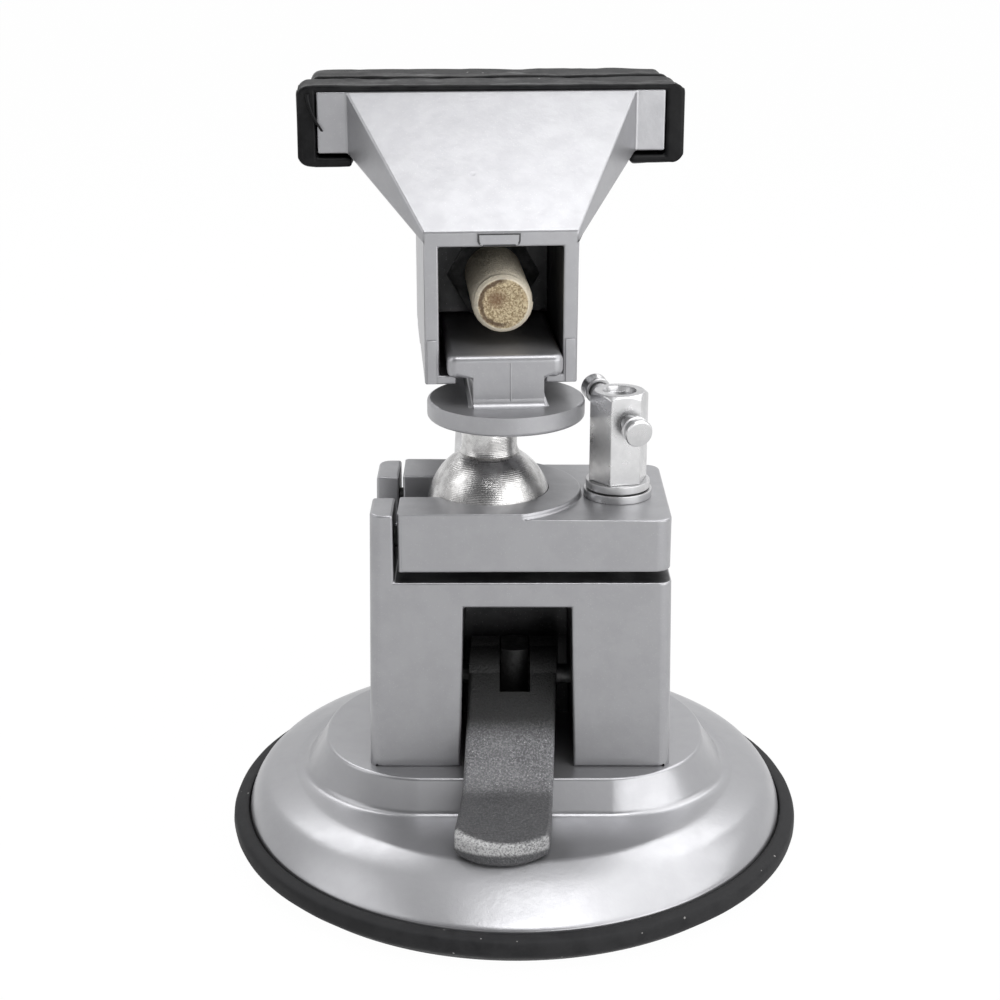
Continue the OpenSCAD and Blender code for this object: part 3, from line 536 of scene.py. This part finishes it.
# Suction base
def base_dome_shell():
    """A long pad on an oval crown, which falls to a round rim."""
    # Bore, how far the pad's ends and front stand out, its reach to the back, its foot and its flare
    hole, out_x, out_y, back, foot, flare = 4.08, 17.7, 1.4, 3.0, 24.3, 2.2
    crown_deep, crown_wide, crown_z, flare_z, flare_high = 40.3, 44.5, 12.6, 19.3, 6.7
    roof, hem, recess_z, recess_r = 9.4, 4.6, 15.9, 20.8
    pad = [(hole, 19.5), (12.0, 19.5), (19.8, 19.5), (20.2, 19.42), (20.42, 19.25), (20.55, 18.9)]
    pad += [(21.1, 17.0), (22.3, 13.75), (22.55, 13.2), (22.95, 12.85), (23.5, 12.66), (foot, crown_z)]
    # Of each ring: half its depth, its height and half its length
    rings = [(crown_deep, crown_z, crown_wide), (41.1, 12.52, 45.0), (41.9, 12.3, 45.9), (43.5, 11.6, 48.6)]
    rings += [(44.7, 11.06, 50.2), (46.0, 10.42, 51.5), (48.0, 9.36, 52.5), (50.0, 8.24, 53.2)]
    rings += [(52.0, 7.1, 53.65), (53.2, 6.4, 53.9), (53.8, 5.98, 53.97), (54.0, 5.6, 54.0)]
    level = [(foot + (crown_deep - foot) * share, share) for share in (0.25, 0.5, 0.75)]
    inside = [(54.0, 4.3), (53.9, 4.2), (50.0, 4.2), (50.0, 4.5), (41.5, roof), (20.5, roof)]
    inside += [(20.5, 15.5), (hole, 15.5)]
    outer = [(r, z) for r, z, _ in rings]
    profile = pad + [(r, crown_z) for r, _ in level] + outer + inside
    bm = spun(profile + [profile[0]], 176)
    for v in bm.verts:
        r = math.hypot(v.co.x, v.co.y)
        flat = Vector((v.co.x, v.co.y)) / r
        recess = v.co.z < recess_z and r < recess_r
        if r < 5.0 or v.co.z < hem or recess or abs(v.co.z - roof) < 1e-3:
            continue
        side = Vector((math.copysign(out_x, flat.x) if abs(flat.x) > 1e-6 else 0.0, 0.0))
        side.y = math.copysign(out_y, flat.y) if abs(flat.y) > 1e-6 else 0.0
        if flat.y > 0:
            side.y += back * flat.y
        side.x += flare * flat.x * abs(flat.x) * min(1.0, max(0.0, (flare_z - v.co.z) / flare_high))
        if r < foot + 0.01:
            v.co.xy = flat * r + side
        for at, share in level:
            if abs(r - at) < 1e-3:
                deep = crown_deep if flat.y < 0 else crown_wide
                v.co.xy = (flat * foot + side).lerp(Vector((flat.x * crown_wide, flat.y * deep)), share)
        for at, height, wide in rings:
            if abs(r - at) < 1e-3 and abs(v.co.z - height) < 1e-3:
                v.co.x *= wide / at
                if flat.y > 0:
                    v.co.y *= wide / at
    finish_piece("base_dome_shell", bm, "base", [DOME_GREY], ["base_dome"], 50)


def suction_cup_rim():
    """The ring of the rubber cup that seals on the table, with the uneven edge of a moulding."""
    profile = [(45.0, 0.9), (46.6, 0.35), (47.6, 0.0), (53.8, 0.0), (54.5, 0.12)]
    profile += [(56.8, 1.95), (57.25, 2.4), (57.45, 2.9), (57.5, 3.4), (57.42, 4.5), (57.25, 5.1)]
    profile += [(56.9, 5.45), (56.3, 5.6), (55.3, 5.74), (54.75, 5.76), (54.45, 5.6), (54.32, 5.2)]
    profile += [(54.3, 4.2), (46.2, 4.2), (45.0, 4.68), (45.0, 0.9)]
    bm = spun(profile, 192)
    free_edge = 54.6
    for v in bm.verts:
        r = math.hypot(v.co.x, v.co.y)
        if r > free_edge:
            a = math.atan2(v.co.y, v.co.x)
            wander = 0.3 * noise.noise(Vector((2.1 * math.cos(a), 2.1 * math.sin(a), 0.3)))
            wander += 0.12 * noise.noise(Vector((9 * math.cos(a), 9 * math.sin(a), v.co.z * 0.4)))
            shrink = 1 - (max(0.0, 0.08 + wander) / r) * min(1.0, (r - free_edge) / 2.5)
            v.co.x *= shrink
            v.co.y *= shrink
    finish_piece("suction_cup_rim", bm, "base", [RUBBER_CUP], ["suction_cup"], 40)


def suction_cup_middle():
    """The middle of the cup, which the stem presses down when the lever goes up."""
    profile = [(0.0, 4.4), (20.0, 3.6), (40.0, 2.6), (44.97, 0.91), (44.97, 4.67), (43.7, 5.2)]
    profile += [(19.0, 8.2), (0.0, 8.2)]
    bm = spun(profile, 96)
    middle = finish_piece("suction_cup_middle", bm, "base", [RUBBER_CUP], [], 40)
    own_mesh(middle)


base_dome_shell()
suction_cup_rim()
suction_cup_middle()


# Housing and clamp plate
def on_ball_seat(edge):
    seat_r = 12.13
    return all(abs((v.co - BALL).length - seat_r) < 0.12 for v in edge.verts)


def in_bore(at):
    """True beside the pin, dowel and screw holes of the housing and the plate."""
    pin_y, pin_z, foot_screw_x = -3.46, 33.4, 16.0
    dowel_middle, dowel_apart, dowel_z = 0.3, 11.4, 65.5
    pin = math.hypot(at.y - pin_y, at.z - pin_z) < 2.4
    dowel = math.hypot(abs(at.y - dowel_middle) - dowel_apart, at.z - dowel_z) < 2.4
    clamp = math.hypot(at.x - POST.x, at.y - POST.y) < 4.8
    foot = at.z < 40 and math.hypot(abs(at.x) - foot_screw_x, at.y) < 3.0
    return pin or dowel or clamp or foot


def ball_housing_block():
    """The upright block; its lever window, its slit and the gap under the plate are painted near black as
    painted shade.
    """
    bm = copy_of("ball_housing")
    window_x = 0.4

    def outer(m, e):
        shown = m.z > 19.8 or (m.z < 19.6 and abs(m.x - window_x) > 11.8)
        return e.calc_length() > 0.3 and shown and not on_ball_seat(e) and not in_bore(m)

    soften(bm, 0.5, 3, 40, outer)

    # Faces in the lever window, the floor of the gap under the plate and the right-facing faces of the slit
    # get the near-black finish: painted shade.
    def painted_shade_faces(centre, normal):
        window = abs(centre.x - window_x) < 11.3 and -16.3 < centre.y < 8.3 and centre.z < 53.4
        gap = normal.z > 0.9 and 57.8 < centre.z < 58.3
        slit = normal.x > 0.9 and centre.z > 58.0 and centre.x > -24.0
        return window or gap or slit

    finish_piece(
        "ball_housing_block", bm, "base", [GREY, PAINTED_SHADE], ["ball_housing"], 32, painted_shade_faces
    )


def clamp_plate_casting():
    bm = copy_of("clamp_plate")

    def outer(m, e):
        split = m.z > PLATE_TOP - 0.1 and abs(m.y) > 6.0 and m.x < -6.0
        seat = math.hypot(m.x - BALL.x, m.y - BALL.y) < 12.5 and not split
        return e.calc_length() > 0.25 and not seat and not on_ball_seat(e) and not in_bore(m)

    soften(bm, 0.42, 3, 40, outer)

    # The plate's underside and the faces at its left end that look left get the near-black finish: painted
    # shade.
    def painted_shade_faces(centre, normal):
        return (normal.z < -0.9 and centre.z < 60.6) or (normal.x < -0.9 and centre.x < -21.9)

    finish_piece(
        "clamp_plate_casting", bm, "base", [GREY, PAINTED_SHADE], ["clamp_plate"], 32, painted_shade_faces
    )


ball_housing_block()
clamp_plate_casting()


# Ball stud
def ball_stud_turned():
    ball_r, steps, sweep = 12.05, 43, 153.6
    points = [(0.0, -ball_r)]
    for i in range(1, steps + 1):
        a = math.radians(-90 + sweep * i / steps)
        points.append((ball_r * math.cos(a), ball_r * math.sin(a)))
    points += [(5.75, 11.0), (5.5, 11.5), (5.35, 12.2), (5.35, 17.4), (5.1, 17.63)]
    points += [(3.4, 17.63), (3.4, 25.6), (0.0, 25.65)]
    bm = moved(spun(points, 96), Matrix.Translation(BALL))
    finish_piece("ball_stud_turned", bm, "stud", [STEEL], ["ball_stud"], 40)


ball_stud_turned()


# Jaws, shaped along the slide and then turned with the head
def copy_along_slide(node):
    return moved(copy_of(node), HEAD.inverted())


def fixed_jaw_casting():
    """The far jaw and its slide, with a parting bead down the web and a fillet at the web's foot."""
    bm = copy_along_slide("fixed_jaw")
    rail_low, rail_high, rail_end = 95.0, 99.8, 50.0
    fillet_left, fillet_long = -6.1, 13.4

    def on_rail(m):
        return rail_low < m.z < rail_high and m.y < rail_end

    def outer(m, e):
        screw = math.hypot(m.x, m.z - SCREW_Z) < 6.5
        neck = math.hypot(m.x + SLIDE_OFF, m.y) < 4.5 and m.z < rail_low
        foot = m.y < -6.3 and 89.4 < m.z < 90.9
        rail = on_rail(m) and abs(m.x) > 7.5
        return e.calc_length() > 0.2 and not (screw or neck or foot or rail)

    def rail_corner(m, e):
        return on_rail(m) and (abs(m.x) > 8.5 or m.y < -6.0) and e.calc_length() > 0.05

    soften(bm, 1.35, 5, 40, rail_corner)
    soften(bm, 0.7, 4, 40, outer)
    bead = box((0.34, 0.5, 7.6), (1.0, -6.38, 94.4))
    soften(bead, 0.1, 2, 40, lambda m, e: m.y < -6.5)
    join(bm, bead)
    fillet = bmesh.new()
    points = [(-8.1, 89.6), (-8.1, 89.66), (-7.5, 89.78), (-6.98, 90.13), (-6.63, 90.64)]
    points += [(-6.51, 91.25), (-6.3, 91.25), (-6.3, 89.6)]
    end = fillet.faces.new([fillet.verts.new((fillet_left, y, z)) for y, z in points])
    grown = bmesh.ops.extrude_face_region(fillet, geom=[end])["geom"]
    far_end = [g for g in grown if isinstance(g, bmesh.types.BMVert)]
    bmesh.ops.translate(fillet, vec=(fillet_long, 0, 0), verts=far_end)
    bmesh.ops.recalc_face_normals(fillet, faces=fillet.faces)
    join(bm, fillet)
    moved(bm, HEAD)
    finish_piece("fixed_jaw_casting", bm, "head", [GREY], ["fixed_jaw"], 32)


def moving_jaw_casting():
    """The near jaw; its front is cut flat and gets a small pad and two upright strips."""
    bm = copy_along_slide("moving_jaw")
    front, sunk, box_x, pad_x = -3.0, 0.5, -0.6, -1.0
    # Left edge, foot, width, height, how proud, and the cut of the lower corners
    plates = [(-4.4, 119.7, 8.0, 2.4, 0.5, 0.9)]
    plates += [(left, 93.5, 1.8, 8.4, 0.4, 0) for left in (12.175, -13.975)]

    geom = bm.verts[:] + bm.edges[:] + bm.faces[:]
    bmesh.ops.bisect_plane(
        bm, geom=geom, dist=1e-5, plane_co=(0, front + 0.02, 0), plane_no=(0, -1, 0), clear_outer=True
    )
    bmesh.ops.edgeloop_fill(bm, edges=[e for e in bm.edges if len(e.link_faces) == 1])
    bmesh.ops.recalc_face_normals(bm, faces=bm.faces)
    bmesh.ops.dissolve_limit(bm, angle_limit=math.radians(0.4), verts=bm.verts, edges=bm.edges)

    def body(m, e):
        nut = math.hypot(m.x, m.z - SCREW_Z) < 10.5 and m.y > 20.0
        return not nut and e.calc_length() > 0.3

    soften(bm, 0.38, 3, 40, body)
    for left, low, wide, high, proud, cut in plates:
        middle = (left + wide / 2 + box_x, front + (sunk - proud) / 2, low + high / 2)
        plate = box((wide, proud + sunk, high), middle)

        def low_corner(m, e):
            return m.z < low + 0.1 and abs(e.verts[0].co.y - e.verts[1].co.y) > 0.5

        if cut:
            soften(plate, cut, 2, 40, low_corner)
        soften(plate, 0.12, 2, 40, lambda m, e: all(v.co.y < front - 0.1 for v in e.verts))
        face = min(plate.faces, key=lambda f: f.calc_center_median().y)
        if cut:
            bmesh.ops.inset_region(plate, faces=[face], thickness=0.25, depth=0.0)
        join(bm, plate)
    moved(bm, HEAD)
    back = HEAD.inverted()

    # The hollow of the box and a dark rim round the small pad get the near-black finish: painted shade and a
    # painted shadow.
    def painted_shade_faces(centre, _):
        at = back @ centre
        hollow = abs(at.x - box_x) < 11.75 and at.y > -2.5 and at.z < 119.6
        across = abs(at.x - pad_x)
        rim = across > 3.6 or at.z < 119.97 or at.z > 121.75
        pad_shadow_rim = at.y < -3.3 and at.z > 119.0 and across < 4.1 and rim
        return hollow or pad_shadow_rim

    finish_piece(
        "moving_jaw_casting", bm, "slider", [GREY, PAINTED_SHADE], ["moving_jaw"], 32, painted_shade_faces
    )


def jaw_cap_rubber(node, body, seed, middle, lip, slack):
    """A pulled-on rubber cap: soft edges, a top that sags a little and a ragged lower lip.

    Middle and lip lie along the slide, and slack is how much wider the cap opens than its bar.
    """
    bm = copy_along_slide(node)
    half, pocket, lip_high = 6.3, 34.15, 2.55
    upper, top, hem, lip_zone = 143.0, 145.4, 132.0, 133.5
    lip_end, outer_end = 30.4, 35.0
    lip_top = min(v.co.z for v in bm.verts) + lip_high
    for v in bm.verts:
        if abs(abs(v.co.x) - pocket) < 0.05:
            v.co.x += math.copysign(slack, v.co.x)
        if abs(v.co.z - lip_top) < 0.05:
            v.co.z -= slack / 2
        if v.co.z > upper:
            v.co.z -= slack * 0.35
    soften(bm, 0.75, 4, 40, lambda m, e: e.calc_length() > 0.3)
    slice_across(bm, -38.5, 38.5, 1.75, (1, 0, 0))
    slice_across(bm, middle - half + 1.3, middle + half - 1.3, 1.25, (0, 1, 0))
    for v in bm.verts:
        spot = Vector((v.co.x * 0.11, v.co.y * 0.35, seed))
        sway = noise.noise(spot) + 0.5 * noise.noise(spot * 3.1)
        if v.co.z > top:
            sag = max(0.0, 1 - ((v.co.y - middle) / half) ** 2)
            v.co.z -= 0.25 * max(0.0, 0.45 + sway) + (0.75 + 0.3 * sway) * sag
        elif v.co.z < hem:
            v.co.z += 0.55 * max(0.0, 0.3 + sway)
        if v.co.z < lip_zone and v.co.y < lip and abs(v.co.x) < lip_end:
            v.co.x -= math.copysign(2.0 + 0.4 * sway, v.co.x)
        if abs(v.co.x) > outer_end:
            dent = 0.3 * max(0.0, 0.4 + noise.noise(spot.yzx * 2.0 + v.co * 0.12))
            v.co.x -= math.copysign(dent, v.co.x)
    moved(bm, HEAD)
    finish_piece(node + "_moulded", bm, body, [RUBBER_CAP], [node], 40)


def torn_whisker():
    """A thread of torn rubber that curls down from the near cap over the bar."""
    bm = bmesh.new()
    depth, thick, slim = 19.05, 0.42, 0.92
    path = [(-40.0, 144.8), (-39.9, 143.6), (-39.6, 142.4), (-39.2, 141.2)]
    path += [(-38.7, 140.0), (-38.0, 138.8), (-37.3, 137.7)]
    ring = bmesh.ops.create_circle(bm, cap_ends=True, segments=8, radius=thick)["verts"]
    bmesh.ops.translate(bm, vec=(path[0][0], depth, path[0][1]), verts=ring)
    tip = bm.faces[:]
    for (from_x, from_z), (x, z) in zip(path, path[1:]):
        grown = bmesh.ops.extrude_face_region(bm, geom=tip)["geom"]
        verts = [g for g in grown if isinstance(g, bmesh.types.BMVert)]
        bmesh.ops.delete(bm, geom=tip, context="FACES_ONLY")
        tip = [g for g in grown if isinstance(g, bmesh.types.BMFace)]
        bmesh.ops.translate(bm, vec=(x - from_x, 0.0, z - from_z), verts=verts)
        about = Matrix.Translation((-x, -depth, -z))
        bmesh.ops.scale(bm, vec=(slim, slim, 1.0), verts=verts, space=about)
    bmesh.ops.recalc_face_normals(bm, faces=bm.faces)
    finish_piece("torn_whisker", bm, "slider", [RUBBER_CAP], [], 60)


torn_whisker()
fixed_jaw_casting()
moving_jaw_casting()
jaw_cap_rubber("moving_jaw_cap", "slider", 0.7, 28.3, 31.4, 1.3)
jaw_cap_rubber("fixed_jaw_cap", "head", 5.3, 41.1, 0.0, 0.0)


# Lead screw with its real thread
def lead_screw_threaded():
    pitch, major, minor, steps = 1.75, 5.85, 4.95, 28
    start, stop, shoulder, hub_from = 1.2, 52.0, 75.64, 70.0
    turns = int((stop - start) / pitch)
    bm = bmesh.new()
    crest = [(minor, 0.0), (minor, 0.2), (major - 0.05, 0.72), (major, 0.85)]
    crest += [(major - 0.05, 0.98), (minor, 1.55), (minor, pitch)]
    verts = [bm.verts.new((r, 0.0, z)) for r, z in crest]
    edges = [bm.edges.new(pair) for pair in zip(verts, verts[1:])]
    bmesh.ops.spin(
        bm,
        geom=verts + edges,
        cent=(0, 0, 0),
        axis=(0, 0, 1),
        dvec=(0, 0, pitch / steps),
        angle=math.tau * turns,
        steps=steps * turns,
        use_merge=False,
        use_duplicate=False,
    )
    bmesh.ops.remove_doubles(bm, verts=bm.verts, dist=1e-3)
    bmesh.ops.recalc_face_normals(bm, faces=bm.faces)
    sawn = [(0.0, -0.55), (3.2, -0.62), (4.7, -0.7), (5.0, -0.55), (5.55, 0.0), (5.55, 0.5)]
    sawn += [(4.9, 1.0), (4.9, 2.6)]
    end = spun(sawn, 64)
    for v in end.verts:
        if v.co.z < -0.4 and math.hypot(v.co.x, v.co.y) < 4.8:
            v.co.z += 0.18 * noise.noise(v.co * 0.7)
    join(bm, end)
    top = turns * pitch
    far = shoulder - start
    hub = [(minor, top - 1.0), (minor, top + 1.6), (5.05, top + 1.7), (5.05, far), (6.9, far)]
    hub += [(7.5, far + 0.7), (7.5, far + 12.2), (6.8, far + 12.95), (0.0, far + 13.0)]
    join(bm, spun(hub, 64))
    moved(bm, HEAD @ Matrix.Translation((0, start, SCREW_Z)) @ LAID)
    back = HEAD.inverted()

    def hub_end(centre, _):
        return (back @ centre).y > hub_from

    finish_piece(
        "lead_screw_threaded", bm, "screw", [BRASSY, ZINC], ["lead_screw"], 40, hub_end
    )


lead_screw_threaded()


# Clamp screw fittings
def clamp_bar_end_caps():
    thicker = 1.14
    profile = [(0.0, 11.6), (1.9, 11.6), (2.25, 11.45), (2.38, 11.15), (2.3, 10.3), (2.0, 9.75)]
    profile += [(2.0, 9.45), (2.3, 9.3), (2.3, 8.9), (2.15, 8.75), (1.83, 8.75), (1.83, 9.6), (0.0, 9.6)]
    bm = bmesh.new()
    for turn in (0, 180):
        cap = spun(profile, 40)
        bmesh.ops.scale(cap, vec=(thicker, thicker, 1.0), verts=cap.verts)
        moved(cap, CROSS_BAR @ Matrix.Rotation(math.radians(turn), 4, "Z") @ LAID)
        join(bm, cap)
    finish_piece("clamp_bar_end_caps", bm, "tommy", [ZINC], ["clamp_bar_ends"], 32)


def rounded_copy(node, body, finish, width, shorter=0.0):
    """A CAD node with rounded edges, its top lowered where it has to be shorter."""
    bm = copy_of(node)
    top_zone = max(v.co.z for v in bm.verts) - 2.0
    for v in bm.verts:
        if v.co.z > top_zone:
            v.co.z -= shorter
    soften(bm, width, 2, 40, lambda m, e: e.calc_length() > 0.12)
    finish_piece(node + "_finished", bm, body, [finish], [node], 32)


clamp_bar_end_caps()
rounded_copy("clamp_post", "post", ZINC, 0.12, 1.1)
rounded_copy("clamp_washer", "base", ZINC, 0.14)
rounded_copy("captive_washer", "ring", ZINC, 0.14)
rounded_copy("thrust_washer", "head", ZINC, 0.25)
rounded_copy("handle_ends", "handle", ZINC, 0.6)


# Vacuum lever
def vacuum_lever_blade():
    """The lever, its tip a little lower and wider on the left, and its fold rounded."""
    bm = copy_of("vacuum_lever")
    tip_y, tip_long, tip_drop, tip_spread = -36.0, 6.8, 1.3, 0.8
    fold_y, fold_z = -27.3, 20.0

    def upright(e):
        return abs(e.verts[0].co.z - e.verts[1].co.z) > 0.9 * e.calc_length()

    def fold(m, _):
        return abs(m.y - fold_y) < 0.3 and abs(m.z - fold_z) < 0.3

    for v in bm.verts:
        if v.co.y < tip_y and v.co.z < 15.0:
            v.co.z -= tip_drop * (tip_y - v.co.y) / tip_long
        if v.co.y < tip_y and v.co.x < -4.0:
            v.co.x -= tip_spread
    soften(bm, 2.2, 5, 30, lambda m, e: upright(e) and m.y < tip_y)
    soften(bm, 2.6, 6, 15, fold)
    soften(bm, 0.85, 4, 45, lambda m, e: m.y < -12.5 and not upright(e))
    finish_piece("vacuum_lever_blade", bm, "lever", [LEVER], ["vacuum_lever"], 32)


vacuum_lever_blade()

# Solids that stay as they are
for node, finish in (
    ("cup_plate", ZINC),
    ("cup_stem", BLACKENED),
    # the lever pins get the dark steel as painted shade
    ("lever_pins", PIN_SHADE_STEEL),
    ("link_pin", BLACKENED),
    ("housing_screws", ZINC),
    ("plate_dowels", BLACKENED),
    ("clamp_bar", ZINC),
    ("lead_nut", BLACKENED),
    ("screw_clip", BLACKENED),
    ("handle_bar", ZINC),
):
    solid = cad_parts[node]
    solid.data.materials.clear()
    solid.data.materials.append(finish)


# Floor, light and camera
def white_floor():
    """A floor that looks white to the camera and in mirror light, and still takes soft light."""
    bm = bmesh.new()
    bmesh.ops.create_grid(bm, x_segments=1, y_segments=1, size=6.0)
    mesh = bpy.data.meshes.new("studio_floor")
    bm.to_mesh(mesh)
    bm.free()
    floor = bpy.data.objects.new("studio_floor", mesh)
    bpy.context.scene.collection.objects.link(floor)
    finish = bpy.data.materials.new("white_floor")
    finish.use_nodes = True
    tree = finish.node_tree
    shader = tree.nodes["Principled BSDF"]
    shader.inputs["Base Color"].default_value = (0.9, 0.9, 0.9, 1)
    shader.inputs["Roughness"].default_value = 0.9
    glow = add(tree, "ShaderNodeEmission", Color=(1, 1, 1, 1), Strength=1.0)
    path = tree.nodes.new("ShaderNodeLightPath")
    seen = maths(tree, "MAXIMUM", path.outputs["Is Camera Ray"], path.outputs["Is Glossy Ray"])
    seen = maths(tree, "MAXIMUM", seen, path.outputs["Is Transmission Ray"])
    mix = tree.nodes.new("ShaderNodeMixShader")
    wire(tree, maths(tree, "MULTIPLY", seen, 0.985), mix.inputs[0])
    wire(tree, shader.outputs[0], mix.inputs[1])
    wire(tree, glow.outputs[0], mix.inputs[2])
    wire(tree, mix.outputs[0], tree.nodes["Material Output"].inputs["Surface"])
    mesh.materials.append(finish)


def soft_box(name, place_at, aim, size, power):
    data = bpy.data.lights.new(name, "AREA")
    data.shape = "RECTANGLE"
    data.size, data.size_y = size
    data.energy = power
    lamp = bpy.data.objects.new(name, data)
    lamp.location = place_at
    lamp.rotation_euler = (Vector(aim) - Vector(place_at)).to_track_quat("-Z", "Y").to_euler()
    bpy.context.scene.collection.objects.link(lamp)


white_floor()
# Name, place, aim, width and height, and power
soft_box("right_top_box", (0.42, -0.12, 0.62), (0.0, 0.0, 0.08), (0.8, 0.65), 3.4)
soft_box("left_top_box", (-0.55, -0.12, 0.48), (0.0, 0.0, 0.08), (0.4, 0.6), 1.1)
soft_box("rear_top_box", (0.0, 0.42, 0.70), (0.0, 0.0, 0.08), (1.1, 0.3), 3.3)
soft_box("jaw_box", (0.06, -0.16, 0.74), (0.0, 0.0, 0.13), (0.28, 0.28), 1.35)
soft_box("low_right_box", (0.44, -0.46, 0.16), (0.0, 0.0, 0.06), (0.75, 0.5), 2.9)


def studio_room():
    """A light room, dark high on the camera's side and lighter low on the right; the camera sees white."""
    room = bpy.data.worlds.new("studio")
    room.use_nodes = True
    tree = room.node_tree
    axes = add(tree, "ShaderNodeSeparateXYZ")
    wire(tree, tree.nodes.new("ShaderNodeTexCoord").outputs["Generated"], axes.inputs[0])
    shade = ranged(tree, axes.outputs["Y"], -0.7, 0.7)
    right = ranged(tree, axes.outputs["X"], -0.2, 0.6)
    low = blend_colour(tree, right, (0.58, 0.58, 0.585), (1.0, 1.0, 1.005))
    front = blend_colour(tree, ranged(tree, axes.outputs["Z"], 0.18, 0.5), low, (0.1, 0.1, 0.105))
    colour = blend_colour(tree, shade, front, (0.95, 0.95, 0.955))
    seen = tree.nodes.new("ShaderNodeLightPath").outputs["Is Camera Ray"]
    wire(tree, blend_colour(tree, seen, colour, (1.0, 1.0, 1.0)), tree.nodes["Background"].inputs["Color"])
    bpy.context.scene.world = room


studio_room()

look_down = 19.056
lens = bpy.data.cameras.new("photo_camera")
lens.sensor_width = 36.0
lens.lens = 65.52
lens.clip_start = 0.01
camera = bpy.data.objects.new("photo_camera", lens)
camera.location = (-0.002926, -0.336664, 0.185228)
camera.rotation_euler = (math.radians(90 - look_down), 0.0, 0.0)
bpy.context.scene.collection.objects.link(camera)
bpy.context.scene.camera = camera
bpy.context.scene.view_settings.view_transform = "Standard"
